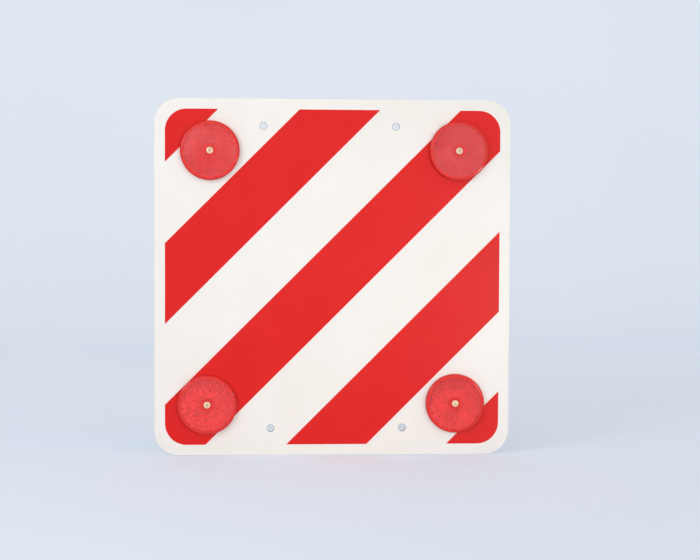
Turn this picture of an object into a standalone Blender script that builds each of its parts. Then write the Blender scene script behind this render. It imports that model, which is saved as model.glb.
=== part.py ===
"""Reflective warning board for a load that overhangs a vehicle or a bicycle rack.

A white plastic panel carries five red diagonal bands and a round red reflector near each
corner, held by a blind rivet. Four tie holes take the cords or hooks that hang it up.

Units are metres. Everything is drawn lying face up, X to the right, Y up the face and Z out
of the face. The parent empty "board" then stands it upright, with +Z up and the face to -Y.
The origin is the centre of the panel's rear face.
"""
import math

import bmesh
import bpy
from mathutils import Matrix

# Panel
PANEL_WIDTH = 0.500
PANEL_HEIGHT = 0.500
PANEL_THICKNESS = 0.003
PANEL_CORNER_RADIUS = 0.035
PANEL_EDGE_ROUND = 0.0007
CORNER_STEPS = 10

# Red bands, laid on the face inside a plain white border, as wide as the white between them.
# The depth of a corner band is taken square to its long edge, to the field's corner unrounded.
BORDER_WIDTH = 0.015
FIELD_CORNER_RADIUS = 0.030
CORNER_BAND_DEPTH = 0.05234
BAND_ANGLE = math.radians(45)
BAND_THICKNESS = 0.00015
LAID_ON_CLEARANCE = 0.00005

# Tie holes, a near and a far pair set diagonally opposite each other
TIE_HOLE_DIAMETER = 0.010
TIE_HOLE_FROM_EDGE = 0.0382
TIE_HOLE_NEAR_OFFSET = 0.0873
TIE_HOLE_FAR_OFFSET = 0.0981
TIE_HOLE_STEPS = 20

# Reflector places: two stand mostly on white and two on the middle band
WHITE_REFLECTOR_FROM_SIDE = 0.0773
WHITE_REFLECTOR_FROM_END = 0.0728
BAND_REFLECTOR_FROM_SIDE = 0.0738
BAND_REFLECTOR_FROM_END = 0.0717

# Reflector lens: a moulded dish with a rivet hub, closed behind by its base plate
LENS_DIAMETER = 0.083
LENS_FACE_THICKNESS = 0.0018
LENS_SHOULDER_RADIUS = 0.003
LENS_SKIRT_WALL = 0.0018
LENS_LEDGE_WIDTH = 0.0014
LENS_HUB_DIAMETER = 0.0145
LENS_STEPS = 40
SHOULDER_STEPS = 3

# Corner-cube prisms moulded behind the lens face
PRISM_CELL_WIDTH = 0.0060
PRISM_ROOT = 0.0002
PRISM_SIDE_CLEARANCE = 0.0006
PRISM_TIP_CLEARANCE = 0.0003

# Base plate
BASE_THICKNESS = 0.0016
BASE_SIDE_CLEARANCE = 0.0003
BASE_CHAMFER = 0.0004
BASE_STEPS = 32

# Blind rivet with a domed head, set behind the panel
RIVET_SHANK_DIAMETER = 0.0048
RIVET_HOLE_CLEARANCE = 0.00015
RIVET_HEAD_DIAMETER = 0.0095
RIVET_HEAD_RIM = 0.0003
RIVET_HEAD_HEIGHT = 0.0014
RIVET_TAIL_DIAMETER = 0.0072
RIVET_TAIL_LENGTH = 0.0034
RIVET_TAIL_ROUND = 0.0009
RIVET_STEPS = 16
HEAD_STEPS = 4
TAIL_STEPS = 3

# Steel pin that set the rivet and broke off inside it
PIN_DIAMETER = 0.0027
PIN_CLEARANCE = 0.00015
PIN_RECESS = 0.0005
PIN_HEAD_DIAMETER = 0.0042
PIN_HEAD_LENGTH = 0.0015
PIN_HEAD_ROUND = 0.0009
PIN_STEPS = 12
PIN_HEAD_STEPS = 3

# Half the middle band, a space, a band and a space lie between the centre and a corner band
STRIPES_TO_CORNER_BAND = 3.5

# Worked out from the sizes above
FIELD_WIDTH = PANEL_WIDTH - 2 * BORDER_WIDTH
FIELD_HEIGHT = PANEL_HEIGHT - 2 * BORDER_WIDTH
FIELD_REACH = (FIELD_WIDTH * math.sin(BAND_ANGLE) + FIELD_HEIGHT * math.cos(BAND_ANGLE)) / 2
BAND_WIDTH = (FIELD_REACH - CORNER_BAND_DEPTH) / STRIPES_TO_CORNER_BAND
BAND_PITCH = 2 * BAND_WIDTH
BAND_FLOOR = PANEL_THICKNESS + LAID_ON_CLEARANCE
BAND_TOP = BAND_FLOOR + BAND_THICKNESS
REFLECTOR_SEAT = BAND_TOP + LAID_ON_CLEARANCE
RIVET_HOLE_RADIUS = RIVET_SHANK_DIAMETER / 2 + RIVET_HOLE_CLEARANCE
PRISM_SIDE = PRISM_CELL_WIDTH / 2
PRISM_STEP = PRISM_SIDE / math.sqrt(2)
PRISM_DEPTH = 2 * PRISM_STEP
LEDGE_HEIGHT = BASE_THICKNESS + LAID_ON_CLEARANCE
FACE_REAR = LEDGE_HEIGHT + PRISM_TIP_CLEARANCE + PRISM_DEPTH + PRISM_ROOT
LENS_HEIGHT = FACE_REAR + LENS_FACE_THICKNESS
RIVET_HEAD_SEAT = LENS_HEIGHT + LAID_ON_CLEARANCE
RIVET_TAIL_SEAT = -REFLECTOR_SEAT - LAID_ON_CLEARANCE

# A solid that cuts another runs past it by this much
CUT_OVERRUN = PANEL_THICKNESS

# Faces that meet at less than this are shaded as one round surface
SMOOTH_ANGLE = math.radians(32)

PLACES = {
    "top_left": (-1, 1, WHITE_REFLECTOR_FROM_SIDE, WHITE_REFLECTOR_FROM_END, TIE_HOLE_FAR_OFFSET),
    "top_right": (1, 1, BAND_REFLECTOR_FROM_SIDE, BAND_REFLECTOR_FROM_END, TIE_HOLE_NEAR_OFFSET),
    "bottom_left": (-1, -1, BAND_REFLECTOR_FROM_SIDE, BAND_REFLECTOR_FROM_END, TIE_HOLE_NEAR_OFFSET),
    "bottom_right": (1, -1, WHITE_REFLECTOR_FROM_SIDE, WHITE_REFLECTOR_FROM_END, TIE_HOLE_FAR_OFFSET),
}

# Corners of a hexagonal cell, in halves of its flat width across and halves of its side up
HEXAGON = ((1, 1), (0, 2), (-1, 1), (-1, -1), (0, -2), (1, -1))

BANDS = {
    "red_band_lower_corner": -2,
    "red_band_lower": -1,
    "red_band_middle": 0,
    "red_band_upper": 1,
    "red_band_upper_corner": 2,
}


def reflector_centre(place):
    """Centre of a reflector on the panel's face."""
    side, end, from_side, from_end, _ = PLACES[place]
    return side * (PANEL_WIDTH / 2 - from_side), end * (PANEL_HEIGHT / 2 - from_end)


def tie_hole_centre(place):
    """Centre of a tie hole on the panel's face."""
    side, end, _, _, offset = PLACES[place]
    return side * offset, end * (PANEL_HEIGHT / 2 - TIE_HOLE_FROM_EDGE)


def arc(centre_r, centre_z, radius, start, end, steps):
    """Points of an arc in a turned profile, both ends included; angles in degrees from +R."""
    points = []
    for i in range(steps + 1):
        angle = math.radians(start + (end - start) * i / steps)
        points.append((centre_r + radius * math.cos(angle), centre_z + radius * math.sin(angle)))
    return points


def finish_mesh(bm, name):
    """Mesh data from a bmesh, with its faces turned outward."""
    bmesh.ops.recalc_face_normals(bm, faces=bm.faces)
    mesh = bpy.data.meshes.new(name)
    bm.to_mesh(mesh)
    bm.free()
    return mesh


def turned(name, profile, steps, closed=True):
    """Turn a profile of (radius, height) points about Z; a closed one leaves a bore."""
    bm = bmesh.new()
    verts = [bm.verts.new((r, 0, z)) for r, z in profile]
    edges = [bm.edges.new(pair) for pair in zip(verts, verts[1:])]
    if closed:
        edges.append(bm.edges.new((verts[-1], verts[0])))
    bmesh.ops.spin(bm, geom=verts + edges, cent=(0, 0, 0), axis=(0, 0, 1),
                   angle=math.tau, steps=steps, use_merge=True)
    bmesh.ops.remove_doubles(bm, verts=bm.verts, dist=1e-7)
    return finish_mesh(bm, name)


def rounded_plate(name, width, height, radius, low, high, edge_round=0.0):
    """Flat plate with rounded corners between two heights, its outer edges eased if asked."""
    bm = bmesh.new()
    points = []
    for side, end, start in ((1, 1, 0), (-1, 1, 90), (-1, -1, 180), (1, -1, 270)):
        x = side * (width / 2 - radius)
        y = end * (height / 2 - radius)
        points += arc(x, y, radius, start, start + 90, CORNER_STEPS)
    face = bm.faces.new([bm.verts.new((x, y, low)) for x, y in points])
    grown = bmesh.ops.extrude_face_region(bm, geom=[face], use_keep_orig=True)["geom"]
    top_verts = [item for item in grown if isinstance(item, bmesh.types.BMVert)]
    bmesh.ops.translate(bm, verts=top_verts, vec=(0, 0, high - low))
    if edge_round:
        rim = [edge for edge in bm.edges if edge.verts[0].co.z == edge.verts[1].co.z]
        bmesh.ops.bevel(bm, geom=rim, offset=edge_round, segments=2, profile=0.5, affect="EDGES")
    return finish_mesh(bm, name)


def hole_cutters(name, holes, low, high):
    """One mesh of upright cylinders, one for each (x, y, radius, steps)."""
    bm = bmesh.new()
    for x, y, radius, steps in holes:
        made = bmesh.ops.create_cone(bm, cap_ends=True, segments=steps, radius1=radius,
                                     radius2=radius, depth=high - low)
        bmesh.ops.translate(bm, verts=made["verts"], vec=(x, y, (low + high) / 2))
    return finish_mesh(bm, name)


def combined(name, mesh, tool, operation):
    """Mesh data left when a Boolean with the tool's mesh is applied."""
    body = bpy.data.objects.new(name, mesh)
    cutter = bpy.data.objects.new(name + "_tool", tool)
    for temporary in (body, cutter):
        bpy.context.scene.collection.objects.link(temporary)
    modifier = body.modifiers.new("cut", "BOOLEAN")
    modifier.operation = operation
    modifier.solver = "EXACT"
    modifier.object = cutter
    depsgraph = bpy.context.evaluated_depsgraph_get()
    result = bpy.data.meshes.new_from_object(body.evaluated_get(depsgraph))
    result.name = name
    for temporary in (body, cutter):
        bpy.data.objects.remove(temporary)
    return result


def make_material(name, colour, roughness, metallic=0.0):
    """Principled material with one colour, roughness and metallic value."""
    material = bpy.data.materials.new(name)
    material.use_nodes = True
    shader = material.node_tree.nodes["Principled BSDF"]
    shader.inputs["Base Color"].default_value = (*colour, 1.0)
    shader.inputs["Roughness"].default_value = roughness
    shader.inputs["Metallic"].default_value = metallic
    return material


def add_part(name, mesh, material, parent):
    """Named object for one sub-part, smooth on its rounds and sharp on its edges."""
    if not mesh.materials:
        mesh.materials.append(material)
    mesh.shade_smooth()
    mesh.set_sharp_from_angle(angle=SMOOTH_ANGLE)
    part = bpy.data.objects.new(name, mesh)
    bpy.context.scene.collection.objects.link(part)
    part.parent = parent
    return part


def add_empty(name, location, parent=None):
    """Empty that carries other objects."""
    empty = bpy.data.objects.new(name, None)
    empty.location = location
    empty.parent = parent
    bpy.context.scene.collection.objects.link(empty)
    return empty


def panel_mesh():
    """White panel with its eased edge, tie holes and rivet holes."""
    edge_round = min(PANEL_EDGE_ROUND, PANEL_THICKNESS / 3)
    plate = rounded_plate("board_panel", PANEL_WIDTH, PANEL_HEIGHT, PANEL_CORNER_RADIUS,
                          0, PANEL_THICKNESS, edge_round)
    return combined("board_panel", plate, through_holes(), "DIFFERENCE")


def through_holes():
    """Cutters for every hole that goes through the panel and whatever is laid on it."""
    holes = []
    for place in PLACES:
        holes.append((*tie_hole_centre(place), TIE_HOLE_DIAMETER / 2, TIE_HOLE_STEPS))
        holes.append((*reflector_centre(place), RIVET_HOLE_RADIUS, RIVET_STEPS))
    return hole_cutters("through_holes", holes, -CUT_OVERRUN, BAND_TOP + CUT_OVERRUN)


def band_mesh(name, count):
    """One red band: a diagonal strip trimmed to the field inside the white border."""
    length = PANEL_WIDTH + PANEL_HEIGHT
    bm = bmesh.new()
    made = bmesh.ops.create_cube(bm, size=1.0)
    bmesh.ops.scale(bm, verts=made["verts"], vec=(length, BAND_WIDTH, BAND_THICKNESS))
    bmesh.ops.translate(bm, verts=made["verts"],
                        vec=(0, count * BAND_PITCH, BAND_FLOOR + BAND_THICKNESS / 2))
    bmesh.ops.rotate(bm, verts=made["verts"], cent=(0, 0, 0),
                     matrix=Matrix.Rotation(BAND_ANGLE, 3, "Z"))
    strip = finish_mesh(bm, name)
    field = rounded_plate("field", FIELD_WIDTH, FIELD_HEIGHT, FIELD_CORNER_RADIUS,
                          -CUT_OVERRUN, BAND_TOP + CUT_OVERRUN)
    trimmed = combined(name, strip, field, "INTERSECT")
    return combined(name, trimmed, through_holes(), "DIFFERENCE")


def lens_shell():
    """Turned dish of the lens: face, rounded shoulder, skirt, ledge for the base, and hub."""
    outer = LENS_DIAMETER / 2
    seat = outer - LENS_SKIRT_WALL
    pocket = seat - LENS_LEDGE_WIDTH
    hub = LENS_HUB_DIAMETER / 2
    shoulder = arc(outer - LENS_SHOULDER_RADIUS, LENS_HEIGHT - LENS_SHOULDER_RADIUS,
                   LENS_SHOULDER_RADIUS, 90, 0, SHOULDER_STEPS)
    profile = [(RIVET_HOLE_RADIUS, LENS_HEIGHT)] + shoulder + [
        (outer, 0),
        (seat, 0),
        (seat, LEDGE_HEIGHT),
        (pocket, LEDGE_HEIGHT),
        (pocket, FACE_REAR),
        (hub, FACE_REAR),
        (hub, LEDGE_HEIGHT),
        (RIVET_HOLE_RADIUS, LEDGE_HEIGHT),
    ]
    return turned("lens_shell", profile, LENS_STEPS)


def prism_field():
    """Honeycomb of corner cubes between the hub and the skirt.

    Each cell is a hexagon whose three square faces meet at a tip behind the lens. Every
    other corner of the hexagon is one step in front of the tip and the rest are two.
    Points lie on a grid of half a cell's flat width across and half a side up.
    """
    inner = LENS_HUB_DIAMETER / 2 + PRISM_SIDE_CLEARANCE
    outer = LENS_DIAMETER / 2 - LENS_SKIRT_WALL - LENS_LEDGE_WIDTH - PRISM_SIDE_CLEARANCE
    front = FACE_REAR + LENS_FACE_THICKNESS / 2
    tip = FACE_REAR - PRISM_ROOT - PRISM_DEPTH
    across = math.sqrt(3) / 2 * PRISM_SIDE
    up = PRISM_SIDE / 2
    bm = bmesh.new()
    step_of = bm.verts.layers.int.new("step")
    verts = {}

    def point(i, j, step):
        if (i, j) not in verts:
            verts[i, j] = bm.verts.new((i * across, j * up, front))
            verts[i, j][step_of] = step
        return verts[i, j]

    rows = math.ceil(outer / (3 * up))
    columns = math.ceil(outer / (2 * across)) + rows
    for row in range(-rows, rows + 1):
        for column in range(-columns, columns + 1):
            i = 2 * column + row
            j = 3 * row
            ring = [(i + di, j + dj) for di, dj in HEXAGON]
            reach = [math.hypot(ri * across, rj * up) for ri, rj in ring]
            if min(reach) < inner or max(reach) > outer:
                continue
            middle = point(i, j, 0)
            rim = [point(ri, rj, 2 - k % 2) for k, (ri, rj) in enumerate(ring)]
            for k in (1, 3, 5):
                bm.faces.new((middle, rim[k], rim[(k + 1) % 6], rim[(k + 2) % 6]))
    grown = bmesh.ops.extrude_face_region(bm, geom=bm.faces[:], use_keep_orig=True)["geom"]
    for item in grown:
        if isinstance(item, bmesh.types.BMVert):
            item.co.z = tip + item[step_of] * PRISM_STEP
    return finish_mesh(bm, "prism_field")


def lens_mesh():
    """Whole lens: the turned dish with the prisms moulded on the back of its face."""
    return combined("reflector_lens", lens_shell(), prism_field(), "UNION")


def base_mesh():
    """Flat disc that closes the lens, pressed on its ledge and its hub."""
    outer = LENS_DIAMETER / 2 - LENS_SKIRT_WALL - BASE_SIDE_CLEARANCE
    chamfer = min(BASE_CHAMFER, BASE_THICKNESS / 2)
    profile = [
        (RIVET_HOLE_RADIUS, BASE_THICKNESS),
        (outer, BASE_THICKNESS),
        (outer, chamfer),
        (outer - chamfer, 0),
        (RIVET_HOLE_RADIUS, 0),
    ]
    return turned("reflector_base", profile, BASE_STEPS)


def rivet_mesh():
    """Hollow rivet: domed head, shank through the stack and the tail set behind the panel."""
    bore = PIN_DIAMETER / 2 + PIN_CLEARANCE
    head = RIVET_HEAD_DIAMETER / 2
    shank = RIVET_SHANK_DIAMETER / 2
    tail = RIVET_TAIL_DIAMETER / 2
    rim = RIVET_HEAD_SEAT + RIVET_HEAD_RIM
    dome_height = RIVET_HEAD_HEIGHT - RIVET_HEAD_RIM
    dome_radius = (head ** 2 + dome_height ** 2) / (2 * dome_height)
    dome_centre = rim + dome_height - dome_radius
    rim_angle = math.degrees(math.atan2(rim - dome_centre, head))
    bore_angle = math.degrees(math.acos(bore / dome_radius))
    dome = arc(0, dome_centre, dome_radius, bore_angle, rim_angle, HEAD_STEPS)
    tail_round = min(RIVET_TAIL_ROUND, tail - bore, RIVET_TAIL_LENGTH)
    tail_end = RIVET_TAIL_SEAT - RIVET_TAIL_LENGTH
    tail_arc = arc(tail - tail_round, tail_end + tail_round, tail_round, 0, -90, TAIL_STEPS)
    profile = dome + [
        (head, RIVET_HEAD_SEAT),
        (shank, RIVET_HEAD_SEAT),
        (shank, RIVET_TAIL_SEAT),
        (tail, RIVET_TAIL_SEAT),
    ] + tail_arc + [(bore, tail_end)]
    return turned("rivet_body", profile, RIVET_STEPS)


def pin_mesh():
    """Pin inside the rivet, broken off below the dome, with its head pulled up to the tail."""
    shank = PIN_DIAMETER / 2
    head = PIN_HEAD_DIAMETER / 2
    top = RIVET_HEAD_SEAT + RIVET_HEAD_HEIGHT - PIN_RECESS
    head_seat = RIVET_TAIL_SEAT - RIVET_TAIL_LENGTH - LAID_ON_CLEARANCE
    head_round = min(PIN_HEAD_ROUND, head, PIN_HEAD_LENGTH)
    head_end = head_seat - PIN_HEAD_LENGTH
    head_arc = arc(head - head_round, head_end + head_round, head_round, 0, -90, PIN_HEAD_STEPS)
    profile = [
        (0, top),
        (shank, top),
        (shank, head_seat),
        (head, head_seat),
    ] + head_arc + [(0, head_end)]
    return turned("rivet_pin", profile, PIN_STEPS, closed=False)


def build():
    """Clear the scene, then make every sub-part of the board."""
    for old in list(bpy.data.objects):
        bpy.data.objects.remove(old)
    white = make_material("white_panel_plastic", (0.90, 0.89, 0.86), 0.35)
    red = make_material("red_band_film", (0.77, 0.031, 0.027), 0.30)
    lens_red = make_material("clear_red_lens", (0.75, 0.045, 0.05), 0.08)
    base_red = make_material("red_base_plastic", (0.30, 0.02, 0.02), 0.45)
    aluminium = make_material("rivet_aluminium", (0.83, 0.78, 0.68), 0.30, 1.0)
    steel = make_material("pin_steel", (0.45, 0.44, 0.40), 0.35, 1.0)

    board = add_empty("board", (0, 0, 0))
    board.rotation_euler = (math.radians(90), 0, 0)
    add_part("board_panel", panel_mesh(), white, board)
    for name, count in BANDS.items():
        add_part(name, band_mesh(name, count), red, board)

    lens = lens_mesh()
    base = base_mesh()
    rivet = rivet_mesh()
    pin = pin_mesh()
    for place in PLACES:
        reflector = add_empty("reflector_" + place, (*reflector_centre(place), REFLECTOR_SEAT), board)
        add_part("reflector_lens_" + place, lens, lens_red, reflector)
        add_part("reflector_base_" + place, base, base_red, reflector)
        add_part("rivet_body_" + place, rivet, aluminium, reflector)
        add_part("rivet_pin_" + place, pin, steel, reflector)


build()
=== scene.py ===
import math

import bpy
from mathutils import Matrix, Vector


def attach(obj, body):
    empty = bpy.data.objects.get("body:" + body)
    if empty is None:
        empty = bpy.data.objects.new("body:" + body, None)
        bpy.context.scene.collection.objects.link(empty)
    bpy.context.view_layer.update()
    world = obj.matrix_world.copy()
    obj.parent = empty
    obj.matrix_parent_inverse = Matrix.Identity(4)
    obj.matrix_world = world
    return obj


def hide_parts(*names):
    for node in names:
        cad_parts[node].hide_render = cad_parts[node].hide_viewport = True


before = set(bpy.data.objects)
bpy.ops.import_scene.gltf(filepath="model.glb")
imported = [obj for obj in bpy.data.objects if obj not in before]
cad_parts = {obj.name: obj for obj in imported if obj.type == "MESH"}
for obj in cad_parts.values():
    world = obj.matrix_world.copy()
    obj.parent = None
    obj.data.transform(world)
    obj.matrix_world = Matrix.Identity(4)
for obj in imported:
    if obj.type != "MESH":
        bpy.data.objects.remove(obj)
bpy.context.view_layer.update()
print("frame loaded")

# The board stands upright: X to the right, Z up, and its face looks to -Y.
# Pieces are modelled lying face up round the origin, then turned up and set in their place.
# Lengths are in metres and angles in degrees.
faceUpToFront = Matrix.Rotation(math.radians(90), 4, "X")
samePoint = 1e-6  # points nearer than this are one

# middles of the reflectors and of the tie holes, across the board and up
reflectorPlaces = {
    "top_left": (-0.1727, 0.1772),
    "top_right": (0.1762, 0.1783),
    "bottom_left": (-0.1762, -0.1783),
    "bottom_right": (0.1727, -0.1772),
}
tieHolePlaces = {
    "top_left": (-0.0981, 0.2118),
    "top_right": (0.0873, 0.2118),
    "bottom_left": (-0.0873, -0.2118),
    "bottom_right": (0.0981, -0.2118),
}
reflectorSeat = 0.00325  # the reflectors stand this far in front of the panel's rear face


# Helpers for shapes

def deselectAll():
    for thing in bpy.context.selected_objects:
        thing.select_set(False)


def pickOnly(piece):
    deselectAll()
    piece.select_set(True)
    bpy.context.view_layer.objects.active = piece


def applyModifier(piece, kind, **settings):
    pickOnly(piece)
    modifier = piece.modifiers.new(kind.lower(), kind)
    for key, value in settings.items():
        setattr(modifier, key, value)
    bpy.ops.object.modifier_apply(modifier=modifier.name)


def cutWith(piece, tool, operation="DIFFERENCE"):
    applyModifier(piece, "BOOLEAN", operation=operation, solver="EXACT", object=tool)
    bpy.data.objects.remove(tool)


def editEdges(piece, wanted):
    # opens edit mode with only the edges that the test accepts picked
    pickOnly(piece)
    bpy.ops.object.mode_set(mode="EDIT")
    bpy.ops.mesh.select_mode(type="EDGE")
    bpy.ops.mesh.select_all(action="DESELECT")
    bpy.ops.object.mode_set(mode="OBJECT")
    points = piece.data.vertices
    for edge in piece.data.edges:
        a, b = (points[i].co for i in edge.vertices)
        edge.select = wanted(a, b)
    bpy.ops.object.mode_set(mode="EDIT")


def bevelEdges(piece, wanted, width, steps):
    editEdges(piece, wanted)
    bpy.ops.mesh.bevel(offset=width, segments=steps, profile=0.5, affect="EDGES")
    bpy.ops.object.mode_set(mode="OBJECT")


def turnRings(name, rings, sides, bored):
    # a round piece drawn ring by ring: a circle that is extruded and scaled to each radius and height
    deselectAll()
    radius, height = rings[0]
    bpy.ops.mesh.primitive_circle_add(vertices=sides, radius=radius, location=(0, 0, height),
                                      fill_type="NOTHING" if bored else "NGON")
    piece = bpy.context.object
    piece.name = name
    bpy.ops.object.transform_apply(location=True, rotation=True, scale=True)
    bpy.ops.object.mode_set(mode="EDIT")
    bpy.ops.mesh.select_all(action="SELECT")
    for nextRadius, nextHeight in rings[1:]:
        bpy.ops.mesh.extrude_region_move(TRANSFORM_OT_translate={"value": (0, 0, nextHeight - height)})
        grow = nextRadius / radius
        bpy.ops.transform.resize(value=(grow, grow, 1), center_override=(0, 0, 0))
        radius, height = nextRadius, nextHeight
    bpy.ops.mesh.select_all(action="SELECT")
    bpy.ops.mesh.remove_doubles(threshold=samePoint)
    bpy.ops.mesh.normals_make_consistent(inside=False)
    bpy.ops.object.mode_set(mode="OBJECT")
    return piece


def roundOff(centreR, centreZ, radius, start, end, steps):
    # points of an arc in a profile, in degrees from the outward direction
    points = []
    for i in range(steps + 1):
        a = math.radians(start + (end - start) * i / steps)
        points.append((centreR + radius * math.cos(a), centreZ + radius * math.sin(a)))
    return points


def setInPlace(piece, x, z, depth=0.0):
    # turns a face-up piece to the front and leaves its place in its mesh
    piece.matrix_world = Matrix.Translation((x, -depth, z)) @ faceUpToFront
    pickOnly(piece)
    bpy.ops.object.transform_apply(location=True, rotation=True, scale=True)


def smoothBelow(piece, degrees):
    pickOnly(piece)
    bpy.ops.object.shade_smooth_by_angle(angle=math.radians(degrees))


def copyOf(piece, name):
    twin = piece.copy()
    twin.data = piece.data.copy()
    twin.name = name
    bpy.context.scene.collection.objects.link(twin)
    return twin


# Helpers for materials

def shade(hexColour):
    # an sRGB hex colour as the linear values that a shader takes
    values = []
    for i in (0, 2, 4):
        c = int(hexColour[i:i + 2], 16) / 255
        values.append(c / 12.92 if c <= 0.04045 else ((c + 0.055) / 1.055) ** 2.4)
    return (*values, 1.0)


def setInputs(tree, node, inputs):
    # an input takes a plain value, a socket, or a node, which then gives its first output
    for key, value in inputs.items():
        if isinstance(value, bpy.types.Node):
            value = value.outputs[0]
        if isinstance(value, bpy.types.NodeSocket):
            tree.links.new(value, node.inputs[key])
        else:
            node.inputs[key].default_value = value


def addNode(tree, kind, inputs=None, **settings):
    node = tree.nodes.new(kind)
    for key, value in settings.items():
        setattr(node, key, value)
    setInputs(tree, node, inputs or {})
    return node


def newMaterial(name, sockets):
    # returns the material, its node tree, its shader and the coordinates in metres
    material = bpy.data.materials.new(name)
    material.use_nodes = True
    tree = material.node_tree
    shader = tree.nodes["Principled BSDF"]
    setInputs(tree, shader, sockets)
    place = addNode(tree, "ShaderNodeTexCoord").outputs["Object"]
    return material, tree, shader, place


# a noise stays mostly between these two, and the map ranges stretch that part of it
noiseSpan = {"From Min": 0.3, "From Max": 0.7}


def mottle(tree, place, millimetres, detail, first, second):
    # a colour that wanders between two tints over patches about so wide, and the noise that steers it
    patches = addNode(tree, "ShaderNodeTexNoise",
                      {"Vector": place, "Scale": 1000 / millimetres, "Detail": detail})
    share = addNode(tree, "ShaderNodeMapRange", {"Value": patches, **noiseSpan})
    # of a colour mix, inputs 6 and 7 are the colours and output 2 the result
    tone = addNode(tree, "ShaderNodeMix", {0: share, 6: shade(first), 7: shade(second)},
                   data_type="RGBA").outputs[2]
    return tone, patches


def dress(piece, *materials):
    piece.data.materials.clear()
    for material in materials:
        piece.data.materials.append(material)


# Materials

def whitePlasticMaterial():
    # rigid white plastic sheet, extruded: matt and nearly even, with faint clouding and fine grain;
    # the grain is drawn at 0.9 mm, coarser than the real one, so that it shows
    material, tree, shader, place = newMaterial("rigid_white_plastic_extruded", {"IOR": 1.5})
    cloudy = mottle(tree, place, 90, 2, "F6F4F0", "F3F0E9")[0]
    specks = addNode(tree, "ShaderNodeTexNoise", {"Vector": place, "Scale": 1000 / 2.5, "Detail": 4})
    greyed = addNode(tree, "ShaderNodeMapRange",
                     {"Value": specks, "From Min": 0.55, "From Max": 0.8, "To Min": 0, "To Max": 0.35})
    tone = addNode(tree, "ShaderNodeMix", {0: greyed, 6: cloudy, 7: shade("E9E5DC")},
                   data_type="RGBA").outputs[2]
    sheen = addNode(tree, "ShaderNodeMapRange",
                    {"Value": specks, **noiseSpan, "To Min": 0.34, "To Max": 0.46})
    grain = addNode(tree, "ShaderNodeTexNoise", {"Vector": place, "Scale": 1000 / 0.9, "Detail": 2})
    bump = addNode(tree, "ShaderNodeBump", {"Strength": 0.25, "Distance": 0.00006, "Height": grain})
    setInputs(tree, shader, {"Base Color": tone, "Roughness": sheen, "Normal": bump})
    return material


def paintedShadeEdgeMaterial():
    # punched edge of a tie hole: rough plastic painted dark, a painted shade that stands in for the
    # shaded wall and rim of the hole
    material, tree, shader, place = newMaterial("punched_edge_painted_shade", {"IOR": 1.5})
    tone, shadeNoise = mottle(tree, place, 1.4, 4, "4E483D", "37322A")
    sheen = addNode(tree, "ShaderNodeMapRange",
                    {"Value": shadeNoise, **noiseSpan, "To Min": 0.6, "To Max": 0.8})
    bump = addNode(tree, "ShaderNodeBump", {"Strength": 0.5, "Distance": 0.0002, "Height": shadeNoise})
    setInputs(tree, shader, {"Base Color": tone, "Roughness": sheen, "Normal": bump})
    return material


def redFilmMaterial():
    # self-adhesive reflective vinyl film: even red under a clear skin, with the fine honeycomb
    # of its reflecting cells, 1000 / 380 = 2.6 mm apart, darker along their seams; the skin's
    # unevenness is drawn at 1.5 mm, coarser than the real one, so that it shows
    material, tree, shader, place = newMaterial("reflective_vinyl_film",
                                                {"IOR": 1.5, "Specular IOR Level": 0.2})
    evenRed = mottle(tree, place, 70, 2, "E4201D", "E01C1A")[0]
    flat = addNode(tree, "ShaderNodeMapping", {"Vector": place, "Rotation": (math.radians(90), 0, 0)})
    cells = addNode(tree, "ShaderNodeTexVoronoi", {"Vector": flat, "Scale": 380, "Randomness": 0.15},
                    feature="DISTANCE_TO_EDGE", voronoi_dimensions="2D")
    seams = addNode(tree, "ShaderNodeMapRange",
                    {"Value": cells, "From Min": 0.02, "From Max": 0.09, "To Min": 0.35, "To Max": 0})
    tone = addNode(tree, "ShaderNodeMix", {0: seams, 6: evenRed, 7: shade("D41815")},
                   data_type="RGBA").outputs[2]
    specks = addNode(tree, "ShaderNodeTexNoise", {"Vector": place, "Scale": 1000 / 1.5, "Detail": 3})
    sheen = addNode(tree, "ShaderNodeMapRange",
                    {"Value": specks, **noiseSpan, "To Min": 0.28, "To Max": 0.4})
    bump = addNode(tree, "ShaderNodeBump", {"Strength": 0.2, "Distance": 0.00005, "Height": specks})
    setInputs(tree, shader, {"Base Color": tone, "Roughness": sheen, "Normal": bump})
    return material


def acrylicMaterial(name, first, second):
    # clear red acrylic, moulded and polished: mirrors the lamps on its face, and its prisms send
    # the light back where it came from, with a fine ripple that the moulding leaves over them
    material, tree, shader, place = newMaterial(name, {"IOR": 1.49, "Transmission Weight": 1.0})
    tone = mottle(tree, place, 2.6, 2, first, second)[0]
    drift = addNode(tree, "ShaderNodeTexNoise", {"Vector": place, "Scale": 1000 / 25, "Detail": 2})
    sheen = addNode(tree, "ShaderNodeMapRange",
                    {"Value": drift, **noiseSpan, "To Min": 0.015, "To Max": 0.04})
    setInputs(tree, shader, {"Base Color": tone, "Roughness": sheen})
    return material


def solidAcrylicMaterial(name, first, second):
    # the same red acrylic where it stands on the base plate with no air between: it looks solid,
    # under a polished skin
    material, tree, shader, place = newMaterial(name, {"IOR": 1.49, "Specular IOR Level": 0.4})
    tone, drift = mottle(tree, place, 18, 2, first, second)
    sheen = addNode(tree, "ShaderNodeMapRange",
                    {"Value": drift, **noiseSpan, "To Min": 0.03, "To Max": 0.08})
    setInputs(tree, shader, {"Base Color": tone, "Roughness": sheen})
    return material


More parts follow.
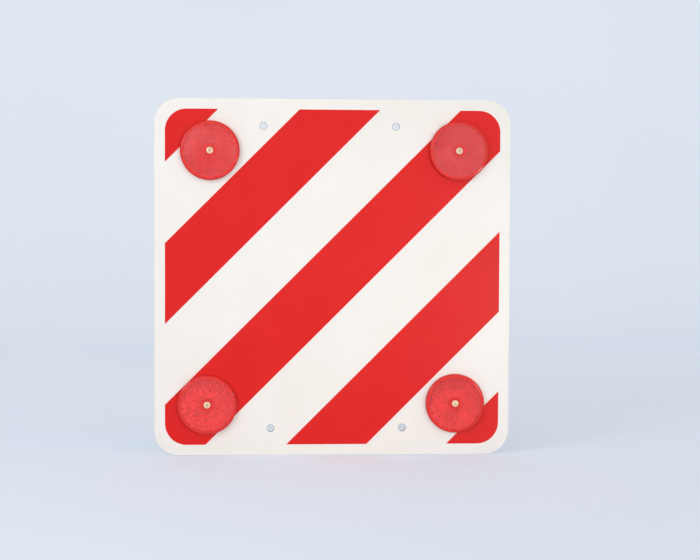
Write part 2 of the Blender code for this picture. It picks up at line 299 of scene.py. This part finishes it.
def baseMaterial():
    # red ABS, moulded: satin, seen through the lens; its spark grain is drawn at 1.2 mm, coarser
    # than the real one, so that it shows
    material, tree, shader, place = newMaterial("red_abs_moulded", {"IOR": 1.52})
    tone, grain = mottle(tree, place, 1.2, 3, "EA3C36", "DC322D")
    sheen = addNode(tree, "ShaderNodeMapRange",
                    {"Value": grain, **noiseSpan, "To Min": 0.4, "To Max": 0.55})
    bump = addNode(tree, "ShaderNodeBump", {"Strength": 0.3, "Distance": 0.0001, "Height": grain})
    setInputs(tree, shader, {"Base Color": tone, "Roughness": sheen, "Normal": bump})
    return material


def rivetMaterial(name, first, second):
    # aluminium, cold headed and tumbled: soft bright metal with fine dents, which are drawn at
    # 1.1 mm, coarser than the real ones, so that they show
    material, tree, shader, place = newMaterial(name, {"Metallic": 1.0})
    tone, dents = mottle(tree, place, 1.1, 3, first, second)
    sheen = addNode(tree, "ShaderNodeMapRange",
                    {"Value": dents, **noiseSpan, "To Min": 0.42, "To Max": 0.56})
    bump = addNode(tree, "ShaderNodeBump", {"Strength": 0.35, "Distance": 0.00012, "Height": dents})
    setInputs(tree, shader, {"Base Color": tone, "Roughness": sheen, "Normal": bump})
    return material


def pinMaterial(name, first, second):
    # steel pin, torn off: duller than the rivet, with a rough broken end
    material, tree, shader, place = newMaterial(name, {"Metallic": 1.0})
    tone, tears = mottle(tree, place, 0.5, 4, first, second)
    sheen = addNode(tree, "ShaderNodeMapRange",
                    {"Value": tears, **noiseSpan, "To Min": 0.35, "To Max": 0.6})
    bump = addNode(tree, "ShaderNodeBump", {"Strength": 0.6, "Distance": 0.0002, "Height": tears})
    setInputs(tree, shader, {"Base Color": tone, "Roughness": sheen, "Normal": bump})
    return material


whitePlastic = whitePlasticMaterial()
paintedShadeEdge = paintedShadeEdgeMaterial()
redFilm = redFilmMaterial()
redAcrylic = acrylicMaterial("clear_red_acrylic_moulded", "FF4743", "FC3733")
paleAcrylic = acrylicMaterial("clear_red_acrylic_inside", "FFF2F0", "FFECEA")
solidAcrylic = solidAcrylicMaterial("red_acrylic_on_its_seat", "E6302A", "DE2C26")
# a darker copy of the seated acrylic: painted shade round the rivet and at the lens's outer edge
paintedShadeAcrylic = solidAcrylicMaterial("red_acrylic_painted_shade", "DA2722", "D0231F")
redAbs = baseMaterial()
# the heads and pin ends are tinted warm, a painted reflection of the red round them; the tails behind
# keep the metals' own grey
aluminiumPaintedReflection = rivetMaterial("aluminium_tumbled_painted_reflection", "FFDCB8", "F0CCA6")
bareAluminium = rivetMaterial("aluminium_tumbled_behind", "E4E3DF", "D2D1CD")
steelPaintedReflection = pinMaterial("steel_broken_pin_painted_reflection", "DCC2A4", "B8A28A")
bareSteel = pinMaterial("steel_pin_head_behind", "BDBAB4", "A19E99")
print("materials made")


# White panel

panel = {
    "side": 0.500,
    "thickness": 0.003,
    "cornerRadius": 0.035,
    "cornerSteps": 28,
    "edgeRound": 0.0007,
    "edgeSteps": 4,
    "tieHole": 0.010,
    "rivetHole": 0.0051,
    "holeSides": 64,
    "rimEase": 0.0004,
    "drillPast": 0.001,  # the cutters reach this far out of the sheet
    "paintedShadeReach": 0.6,  # the painted shade round a tie hole covers what lies within this share of its width
    "smoothAngle": 40,
}


def makeDrill(radius, thick, ease):
    # a cutter with flared ends, so that it leaves the rims of its hole eased
    past = panel["drillPast"]
    flare = radius + ease + (past if ease else 0)
    return turnRings("drill", [(flare, -past), (radius, ease), (radius, thick - ease),
                               (flare, thick + past)], panel["holeSides"], bored=False)


def makePanel():
    thick = panel["thickness"]
    deselectAll()
    bpy.ops.mesh.primitive_cube_add(size=1, location=(0, 0, thick / 2))
    sheet = bpy.context.object
    sheet.name = "white_panel"
    sheet.scale = (panel["side"], panel["side"], thick)
    bpy.ops.object.transform_apply(location=True, rotation=True, scale=True)
    bevelEdges(sheet, lambda a, b: abs(a.z - b.z) > thick / 2,
               panel["cornerRadius"], panel["cornerSteps"])
    bevelEdges(sheet, lambda a, b: abs(a.z - b.z) < samePoint, panel["edgeRound"], panel["edgeSteps"])
    for places, across, ease in ((tieHolePlaces, panel["tieHole"], panel["rimEase"]),
                                 (reflectorPlaces, panel["rivetHole"], 0)):
        for x, z in places.values():
            drill = makeDrill(across / 2, thick, ease)
            drill.location = (x, z, 0)
            cutWith(sheet, drill)
    dress(sheet, whitePlastic, paintedShadeEdge)
    # painted shade: the faces round each tie hole take the dark edge material
    reach = panel["tieHole"] * panel["paintedShadeReach"]
    for face in sheet.data.polygons:
        x, y = face.center.xy
        if any(math.hypot(x - a, y - b) < reach for a, b in tieHolePlaces.values()):
            face.material_index = 1
    setInPlace(sheet, 0, 0)
    smoothBelow(sheet, panel["smoothAngle"])
    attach(sheet, "root")
    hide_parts("board_panel")


makePanel()
print("panel made")

for name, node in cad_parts.items():
    if name.startswith("red_band"):
        dress(node, redFilm)
    if name.startswith("reflector_base"):
        dress(node, redAbs)
print("bands and base plates dressed")


# Reflector lens

lens = {
    "radius": 0.0415,
    "height": 0.0082,
    "face": 0.0018,
    "shoulder": 0.003,
    "shoulderSteps": 10,
    "skirt": 0.0018,
    "ledge": 0.0014,
    "ledgeHeight": 0.00165,
    "hubRadius": 0.00725,
    "bore": 0.00255,
    "sides": 96,
    "smoothAngle": 30,
    "cellWidth": 0.0024,  # flat to flat of a corner-cube prism
    "depthShare": 0.965,  # a true corner cube is 1, a flatter one scatters what it sends back
    "fieldInner": 0.0087,  # the prisms' tips lie between these two
    "fieldOuter": 0.0364,
    "cellError": 0.00007,  # how far the moulding leaves the prisms' corners from their true places
    "errorSeed": 5,
    "rootGap": 0.00005,  # the prisms start a little clear of the face, for a clean join
    "proud": 0.00002,  # the clear face over the prisms stands this much above the rim
    "slants": (0.1, 0.9),  # the prisms' faces look backwards by a share between these
    "collar": 0.0066,  # painted shade: the acrylic is given a darker tint nearer the rivet than this, and beyond the edge
    "edge": 0.0402,
    "turns": {"top_left": 0, "top_right": 14, "bottom_left": 7, "bottom_right": 22},
}
cellRoot = lens["height"] - lens["face"] - lens["rootGap"]


def makeDish():
    outer = lens["radius"]
    top = lens["height"]
    bend = lens["shoulder"]
    seat = outer - lens["skirt"]
    pocket = seat - lens["ledge"]
    rear = top - lens["face"]
    low = lens["ledgeHeight"]
    rings = [(lens["bore"], top), (lens["collar"], top)]
    rings += roundOff(outer - bend, top - bend, bend, 90, 0, lens["shoulderSteps"])
    rings += [(outer, 0), (seat, 0), (seat, low), (pocket, low), (pocket, rear),
              (lens["hubRadius"], rear), (lens["hubRadius"], low), (lens["bore"], low),
              (lens["bore"], top)]
    return turnRings("reflector_dish", rings, lens["sides"], bored=True)


def makePrismCell():
    # a hexagon whose three square faces meet at a tip behind the lens: the tip lies two steps
    # back and every other corner one
    side = lens["cellWidth"] / math.sqrt(3)
    step = side / math.sqrt(2)
    deselectAll()
    bpy.ops.mesh.primitive_circle_add(vertices=6, radius=side, fill_type="TRIFAN",
                                      location=(0, 0, cellRoot))
    cell = bpy.context.object
    bpy.ops.object.transform_apply(location=True, rotation=True, scale=True)
    for point in cell.data.vertices:
        if point.co.xy.length < side / 2:
            point.co.z -= 2 * step
        elif round(math.degrees(math.atan2(point.co.y, point.co.x)) / 60 - 0.5) % 2:
            point.co.z -= step
    return cell


def makePrismField():
    # the cell repeated over the face with two rows and columns to spare, the whole cells in the
    # field kept, and all given a body
    field = makePrismCell()
    width = lens["cellWidth"]
    twoRows = width * math.sqrt(3)
    columns = math.ceil(lens["fieldOuter"] / width) + 2
    rows = math.ceil(lens["fieldOuter"] / twoRows) + 2
    for count, step in ((2, (width / 2, twoRows / 2, 0)), (2 * columns, (width, 0, 0)),
                        (2 * rows, (0, twoRows, 0))):
        applyModifier(field, "ARRAY", count=count, use_relative_offset=False,
                      use_constant_offset=True, constant_offset_displace=step)
    field.data.transform(Matrix.Translation((-columns * width, -rows * twoRows, 0)))
    pickOnly(field)
    bpy.ops.object.mode_set(mode="EDIT")
    bpy.ops.mesh.select_mode(type="FACE")
    bpy.ops.mesh.select_all(action="DESELECT")
    bpy.ops.object.mode_set(mode="OBJECT")
    points = field.data.vertices
    for face in field.data.polygons:
        tip = min((points[i].co for i in face.vertices), key=lambda co: co.z)
        face.select = not lens["fieldInner"] < tip.xy.length < lens["fieldOuter"]
    bpy.ops.object.mode_set(mode="EDIT")
    bpy.ops.mesh.delete(type="FACE")
    bpy.ops.mesh.select_mode(type="VERT")
    bpy.ops.mesh.select_all(action="SELECT")
    bpy.ops.mesh.remove_doubles(threshold=samePoint)
    bpy.ops.transform.resize(value=(1, 1, lens["depthShare"]), center_override=(0, 0, cellRoot))
    bpy.ops.transform.vertex_random(offset=lens["cellError"], seed=lens["errorSeed"])
    bpy.ops.mesh.extrude_region_move(TRANSFORM_OT_translate={"value": (0, 0, lens["height"])})
    bpy.ops.transform.resize(value=(1, 1, 0), center_override=(0, 0, lens["height"] + lens["proud"]))
    bpy.ops.mesh.select_all(action="SELECT")
    bpy.ops.mesh.normals_make_consistent(inside=False)
    bpy.ops.object.mode_set(mode="OBJECT")
    return field


def makeLens():
    dish = makeDish()
    cutWith(dish, makePrismField(), "UNION")
    smoothBelow(dish, lens["smoothAngle"])
    dress(dish, redAcrylic, paleAcrylic, solidAcrylic, paintedShadeAcrylic)
    leastSlant, mostSlant = lens["slants"]
    prismTop = cellRoot - 1e-5  # a hair behind the plane that the prisms start from
    for face in dish.data.polygons:
        x, y, z = face.center
        out = math.hypot(x, y)
        if z > lens["height"] + lens["proud"] / 2:
            face.material_index = 0  # the face over the prisms
        elif lens["ledgeHeight"] < z < prismTop and leastSlant < -face.normal.z < mostSlant:
            face.material_index = 1  # the prisms
        else:
            # painted shade: faces nearer the rivet than the collar, or beyond the edge, take the
            # darker acrylic
            face.material_index = 2 if lens["collar"] < out < lens["edge"] else 3
    return dish


firstLens = makeLens()
for place, (x, z) in reflectorPlaces.items():
    piece = copyOf(firstLens, "reflector_lens_piece_" + place)
    piece.data.transform(Matrix.Rotation(math.radians(lens["turns"][place]), 4, "Z"))
    setInPlace(piece, x, z, reflectorSeat)
    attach(piece, "root")
    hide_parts("reflector_lens_" + place)
bpy.data.objects.remove(firstLens)
print("lenses made")


# Blind rivet, set through lens, base and panel, with the pin that broke off inside it

rivet = {
    "headRadius": 0.00475,
    "headRim": 0.0003,
    "headHeight": 0.0014,
    "headEase": 0.0001,  # the head's lower edge
    "domeSteps": 10,
    "shankRadius": 0.0024,
    "boreRadius": 0.0015,
    "craterLip": 0.0021,  # radius where the dome ends
    "craterDepth": 0.0003,  # from there down to the bore
    "boreLip": 0.0002,  # the crater's slope is shallow up to this far from the bore
    "boreFall": 0.00006,  # and has fallen by this there
    "tailRadius": 0.0036,
    "tailLength": 0.0034,
    "tailShoulder": 0.0003,  # rounding of the tail where it bears on the panel
    "shoulderSteps": 4,
    "tailRound": 0.0009,  # and at its far end
    "roundSteps": 6,
    "sides": 64,
    "clearance": 0.00005,
    "smoothAngle": 35,
    "turnShare": 3,  # rivets and pins are turned by this many times their lens's angle
}
pin = {
    "radius": 0.00135,
    "recess": 0.0005,  # its broken end lies this far below the top of the rivet's head
    "brokenEnd": ((0.0002, 0.00012), (0.0005, 0.00004), (0.0007, -0.00008)),  # radius and rise
    "brokenRim": 0.00008,
    "edgeEase": 0.0001,
    "headRadius": 0.0021,
    "headLength": 0.0015,
    "headRound": 0.0009,
    "roundSteps": 6,
    "endRadius": 0.0002,
    "sides": 48,
}


def makeRivetBody():
    seat = lens["height"] + rivet["clearance"]
    tailSeat = -reflectorSeat - rivet["clearance"]
    rim = seat + rivet["headRim"]
    head, ease = rivet["headRadius"], rivet["headEase"]
    rise = rivet["headHeight"] - rivet["headRim"]
    curve = (head ** 2 + rise ** 2) / (2 * rise)
    centre = rim + rise - curve
    lip = math.degrees(math.acos(rivet["craterLip"] / curve))
    edge = math.degrees(math.atan2(rim - centre, head))
    dome = roundOff(0, centre, curve, lip, edge, rivet["domeSteps"])
    lipHeight = dome[0][1]
    tail, shoulder, bend = rivet["tailRadius"], rivet["tailShoulder"], rivet["tailRound"]
    end = tailSeat - rivet["tailLength"]
    rings = [(rivet["boreRadius"], lipHeight - rivet["craterDepth"]),
             (rivet["boreRadius"] + rivet["boreLip"], lipHeight - rivet["boreFall"])] + dome
    rings += [(head, seat + ease), (head - ease, seat), (rivet["shankRadius"], seat),
              (rivet["shankRadius"], tailSeat)]
    rings += roundOff(tail - shoulder, tailSeat - shoulder, shoulder, 90, 0, rivet["shoulderSteps"])
    rings += roundOff(tail - bend, end + bend, bend, 0, -90, rivet["roundSteps"])
    rings += [(rivet["boreRadius"], end), rings[0]]
    return turnRings("rivet_body_piece", rings, rivet["sides"], bored=True)


def makePin():
    seat = lens["height"] + rivet["clearance"]
    top = seat + rivet["headHeight"] - pin["recess"]
    headSeat = -reflectorSeat - 2 * rivet["clearance"] - rivet["tailLength"]
    r, head, bend, ease = pin["radius"], pin["headRadius"], pin["headRound"], pin["edgeEase"]
    end = headSeat - pin["headLength"]
    rings = [(radius, top + rise) for radius, rise in pin["brokenEnd"]]
    rings += [(r - pin["brokenRim"], top), (r, top - ease), (r, headSeat), (head - ease, headSeat),
              (head, headSeat - ease)]
    rings += roundOff(head - bend, end + bend, bend, 0, -90, pin["roundSteps"])
    rings += [(pin["endRadius"], end)]
    return turnRings("rivet_pin_piece", rings, pin["sides"], bored=False)


for first, materials, node, slot in (
        (makeRivetBody(), (aluminiumPaintedReflection, bareAluminium), "rivet_body_", "rivet_aluminium"),
        (makePin(), (steelPaintedReflection, bareSteel), "rivet_pin_", "pin_steel")):
    smoothBelow(first, rivet["smoothAngle"])
    dress(first, *materials)
    # the parts in front of the panel take the warm tint, a painted reflection; those behind take the
    # bare metal
    for face in first.data.polygons:
        face.material_index = 1 if face.center.z < -reflectorSeat else 0
    for place, (x, z) in reflectorPlaces.items():
        piece = copyOf(first, node + "piece_" + place)
        turn = math.radians(rivet["turnShare"] * lens["turns"][place])
        piece.data.transform(Matrix.Rotation(turn, 4, "Z"))
        setInPlace(piece, x, z, reflectorSeat)
        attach(piece, "root")
        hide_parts(node + place)
    bpy.data.objects.remove(first)
print("rivets made")


# Stage: a pale sweep, the lamps, the world and the camera

stage = {
    "floorHeight": -0.2503,
    "width": 14.0,
    "ahead": 7.5,  # how far the floor runs in front of the board
    "wall": 3.4,  # distance of the wall behind the board
    "wallHeight": 5.0,
    "bend": 1.6,
    "bendSteps": 24,
    "smoothAngle": 60,
    "colour": "DDE6F1",
    "colourDrift": "D9E3EF",
    "driftWidth": 900,  # millimetres
    "roughness": 0.9,
    "glow": 0.24,
}


def seenShare(tree):
    # 1 for what the camera sees, directly, mirrored in metal or through acrylic, and 0 for the light
    # that the other surfaces gather
    path = addNode(tree, "ShaderNodeLightPath").outputs
    share = addNode(tree, "ShaderNodeMath", {0: path["Is Camera Ray"], 1: path["Is Glossy Ray"]},
                    operation="ADD")
    return addNode(tree, "ShaderNodeMath", {0: share, 1: path["Is Transmission Ray"]},
                   operation="ADD", use_clamp=True)


def makeSweep():
    deselectAll()
    wall, low = stage["wall"], stage["floorHeight"]
    depth = wall + stage["ahead"]
    near = 0.01  # edges this near to the fold are picked
    bpy.ops.mesh.primitive_plane_add(size=1, location=(0, wall - depth / 2, low))
    sweep = bpy.context.object
    sweep.name = "studio_sweep"
    sweep.scale = (stage["width"], depth, 1)
    bpy.ops.object.transform_apply(location=True, rotation=True, scale=True)
    editEdges(sweep, lambda a, b: min(a.y, b.y) > wall - near)
    bpy.ops.mesh.extrude_region_move(TRANSFORM_OT_translate={"value": (0, 0, stage["wallHeight"])})
    bpy.ops.object.mode_set(mode="OBJECT")
    bevelEdges(sweep, lambda a, b: min(a.y, b.y) > wall - near and max(a.z, b.z) < low + near,
               stage["bend"], stage["bendSteps"])
    smoothBelow(sweep, stage["smoothAngle"])
    material, tree, shader, place = newMaterial("studio_paper", {"Roughness": stage["roughness"]})
    tone = mottle(tree, place, stage["driftWidth"], 2, stage["colour"], stage["colourDrift"])[0]
    glow = addNode(tree, "ShaderNodeMath", {0: seenShare(tree), 1: stage["glow"]},
                   operation="MULTIPLY")
    setInputs(tree, shader, {"Base Color": tone, "Emission Color": tone, "Emission Strength": glow})
    dress(sweep, material)
    return sweep


lamps = {
    # sizes in metres, power in watts
    "key": {"position": (-1.5, -1.7, 0.8), "size": 0.8, "power": 11, "spreadAngle": 180,
            "colour": "F8FAFF"},
    "low": {"position": (0.75, -1.6, -0.12), "size": 0.2, "power": 0.6, "spreadAngle": 60,
            "colour": "FFF8F0"},
}


def makeLamp(name, position, size, power, spreadAngle, colour):
    # a square lamp that looks at the middle of the board
    light = bpy.data.lights.new(name, "AREA")
    light.shape = "SQUARE"
    light.size = size
    light.energy = power
    light.color = shade(colour)[:3]
    light.spread = math.radians(spreadAngle)
    lamp = bpy.data.objects.new(name, light)
    lamp.location = position
    lamp.rotation_euler = (-Vector(position)).to_track_quat("-Z", "Y").to_euler()
    lamp.visible_camera = False
    bpy.context.scene.collection.objects.link(lamp)
    return lamp


def spareFloor(lamp, floor):
    # a lamp near the floor would leave a bright pool on it, so it lights all but the floor
    spared = bpy.data.collections.new("spared_by_" + lamp.name)
    spared.objects.link(floor)
    spared.collection_objects[0].light_linking.link_state = "EXCLUDE"
    lamp.light_linking.receiver_collection = spared


studioLight = {
    "fromFront": 0.95,
    "fromBehind": 0.52,
    "frontFull": -0.85,  # Y of the directions where the light of the front is full
    "frontEnd": 0.1,  # and where it has faded to that from behind
    "tint": "FFFAF6",
    "seen": "C4D3E4",
    "boxDirection": (-0.055, -0.998, 0.041),  # a soft box round the camera
    "boxFull": 8,  # from its middle to where it starts to fade
    "boxReach": 20,  # and to its edge
    "boxLevel": 0.53,
    "unevenness": 1.0,
    "patchScale": 1000 / 14,  # a direction is 1 long, so the patches are 14 thousandths, 0.8 degrees
}


def makeWorld():
    # soft light that is strongest from the camera's side and weak from the flanks and behind
    world = bpy.data.worlds.new("studio_world")
    bpy.context.scene.world = world
    world.use_nodes = True
    tree = world.node_tree
    direction = addNode(tree, "ShaderNodeTexCoord").outputs["Generated"]
    across = addNode(tree, "ShaderNodeSeparateXYZ", {0: direction}).outputs["Y"]
    front = addNode(tree, "ShaderNodeMapRange",
                    {"Value": across,
                     "From Min": studioLight["frontEnd"], "From Max": studioLight["frontFull"],
                     "To Min": studioLight["fromBehind"], "To Max": studioLight["fromFront"]})
    seen = seenShare(tree)
    colour = addNode(tree, "ShaderNodeMix",
                     {0: seen, 6: shade(studioLight["tint"]), 7: shade(studioLight["seen"])},
                     data_type="RGBA").outputs[2]
    strength = addNode(tree, "ShaderNodeMix", {0: seen, 2: front, 3: 1.0})
    room = tree.nodes["Background"]
    setInputs(tree, room, {"Color": colour, "Strength": strength})
    # the soft box, a little uneven, lights and shows in the reflectors but not in the camera
    toBox = addNode(tree, "ShaderNodeVectorMath", {0: direction, 1: studioLight["boxDirection"]},
                    operation="DOT_PRODUCT").outputs["Value"]
    fade, full = (math.cos(math.radians(studioLight[key])) for key in ("boxReach", "boxFull"))
    box = addNode(tree, "ShaderNodeMapRange",
                  {"Value": toBox, "From Min": fade, "From Max": full,
                   "To Min": 0, "To Max": studioLight["boxLevel"]})
    uneven = studioLight["unevenness"]
    drift = addNode(tree, "ShaderNodeTexNoise",
                    {"Vector": direction, "Scale": studioLight["patchScale"], "Detail": 1})
    patches = addNode(tree, "ShaderNodeMapRange",
                      {"Value": drift, **noiseSpan, "To Min": 1 - uneven, "To Max": 1 + uneven})
    box = addNode(tree, "ShaderNodeMath", {0: box, 1: patches}, operation="MULTIPLY")
    direct = addNode(tree, "ShaderNodeLightPath").outputs["Is Camera Ray"]
    box = addNode(tree, "ShaderNodeMix", {0: direct, 2: box, 3: 0.0})
    softBox = addNode(tree, "ShaderNodeBackground", {"Color": shade(studioLight["tint"]),
                                                     "Strength": box})
    both = addNode(tree, "ShaderNodeAddShader", {0: room, 1: softBox})
    setInputs(tree, tree.nodes["World Output"], {"Surface": both})


photoCamera = {
    # as the photo: nearly straight on, from slightly left of the middle and above it
    "position": (-0.1283, -2.3185, 0.0966),
    "forward": (0.0653, 0.9945, -0.0429),
    "roll": -0.242,
    "lens": 85,  # millimetres, as is the sensor's width
    "sensor": 36,
}


def makeCamera():
    forward = Vector(photoCamera["forward"]).normalized()
    turn = forward.to_track_quat("-Z", "Y").to_matrix()
    roll = Matrix.Rotation(math.radians(photoCamera["roll"]), 3, forward)
    camera = bpy.data.cameras.new("photo_camera")
    camera.lens = photoCamera["lens"]
    camera.sensor_width = photoCamera["sensor"]
    thing = bpy.data.objects.new("photo_camera", camera)
    thing.matrix_world = Matrix.Translation(photoCamera["position"]) @ (roll @ turn).to_4x4()
    bpy.context.scene.collection.objects.link(thing)
    bpy.context.scene.camera = thing


floor = makeSweep()
makeLamp("key", **lamps["key"])
spareFloor(makeLamp("low", **lamps["low"]), floor)
makeWorld()
makeCamera()
bpy.context.scene.view_settings.view_transform = "Standard"
print("stage made")
